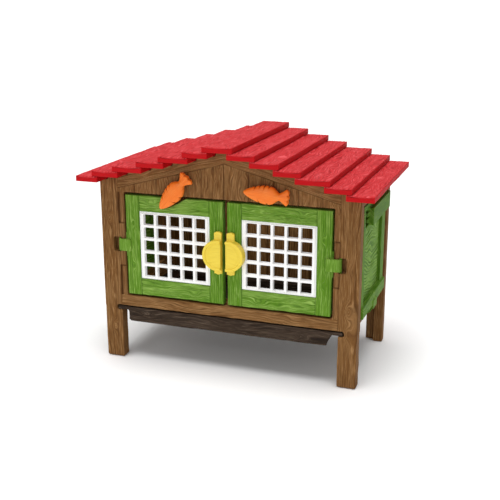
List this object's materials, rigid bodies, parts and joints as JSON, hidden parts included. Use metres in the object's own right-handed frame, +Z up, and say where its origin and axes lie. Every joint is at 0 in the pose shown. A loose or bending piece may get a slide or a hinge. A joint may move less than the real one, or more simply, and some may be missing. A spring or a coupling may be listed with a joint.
{
  "type": "toy hutch",
  "caption": "Moulded toy hutch on four legs: stepped board roof, latched doors with grid windows, pull-out tray and fold-down side ramps.",
  "frame": {"origin": "on the ground, under the middle of the roof", "axes": "+X to the hutch's right as its front is faced, front faces -Y, +Z up"},
  "size_m": [0.174, 0.106, 0.1355],
  "materials": {
    "frame_brown": "satin, moulded wood grain",
    "panel_green": "satin, moulded wood grain",
    "roof_red": "satin, moulded wood grain",
    "grid_white": "smooth",
    "handle_yellow": "smooth",
    "carrot_orange": "satin",
    "tray_dark_brown": "satin, moulded wood grain"
  },
  "bodies": {
    "housing": {"front_frame": "frame_brown", "back_frame": "frame_brown", "left_side_sill": "frame_brown", "right_side_sill": "frame_brown", "left_top_rail": "frame_brown", "right_top_rail": "frame_brown"},
    "left_door": {"left_door_frame": "panel_green", "left_door_grid": "grid_white", "left_door_handle": "handle_yellow"},
    "left_latch": {"left_carrot_latch": "carrot_orange"},
    "left_ramp": {"left_ramp_frame": "panel_green", "left_ramp_board": "panel_green"},
    "right_door": {"right_door_frame": "panel_green", "right_door_grid": "grid_white", "right_door_handle": "handle_yellow"},
    "right_latch": {"right_carrot_latch": "carrot_orange"},
    "right_ramp": {"right_ramp_frame": "panel_green", "right_ramp_board": "panel_green"},
    "tray": {"litter_tray": "tray_dark_brown"},
    "roof": {"ridge_board": "roof_red", "front_roof_rib": "roof_red", "back_roof_rib": "roof_red", "left_roof_board_1": "roof_red", "left_roof_board_2": "roof_red", "left_roof_board_3": "roof_red", "left_roof_board_4": "roof_red", "left_roof_board_5": "roof_red", "left_roof_board_6": "roof_red", "right_roof_board_1": "roof_red", "right_roof_board_2": "roof_red", "right_roof_board_3": "roof_red", "right_roof_board_4": "roof_red", "right_roof_board_5": "roof_red", "right_roof_board_6": "roof_red"}
  },
  "joints": [
    {"name": "left_door_swing", "type": "hinge", "parent": "housing", "child": "left_door", "pos_m": [-0.0646, -0.039, 0.0721], "axis": [0, 0, -1], "range_deg": [0, 90]},
    {"name": "right_door_swing", "type": "hinge", "parent": "housing", "child": "right_door", "pos_m": [0.0646, -0.039, 0.0721], "axis": [0, 0, 1], "range_deg": [0, 90]},
    {"name": "left_carrot_turn", "type": "hinge", "parent": "housing", "child": "left_latch", "pos_m": [-0.0273, -0.041, 0.109], "axis": [0, -1, 0], "range_deg": [-48, 131]},
    {"name": "right_carrot_turn", "type": "hinge", "parent": "housing", "child": "right_latch", "pos_m": [0.0287, -0.041, 0.109], "axis": [0, -1, 0], "range_deg": [0, 184]},
    {"name": "tray_slide", "type": "slide", "parent": "housing", "child": "tray", "axis": [0, -1, 0], "range_m": [0, 0.07]},
    {"name": "left_ramp_fold", "type": "hinge", "parent": "housing", "child": "left_ramp", "pos_m": [-0.0758, 0, 0.0374], "axis": [0, -1, 0], "range_deg": [0, 120]},
    {"name": "right_ramp_fold", "type": "hinge", "parent": "housing", "child": "right_ramp", "pos_m": [0.0758, 0, 0.0374], "axis": [0, 1, 0], "range_deg": [0, 120]},
    {"name": "roof_lift", "type": "slide", "parent": "housing", "child": "roof", "axis": [0, 0, 1], "range_m": [0, 0.06]}
  ]
}
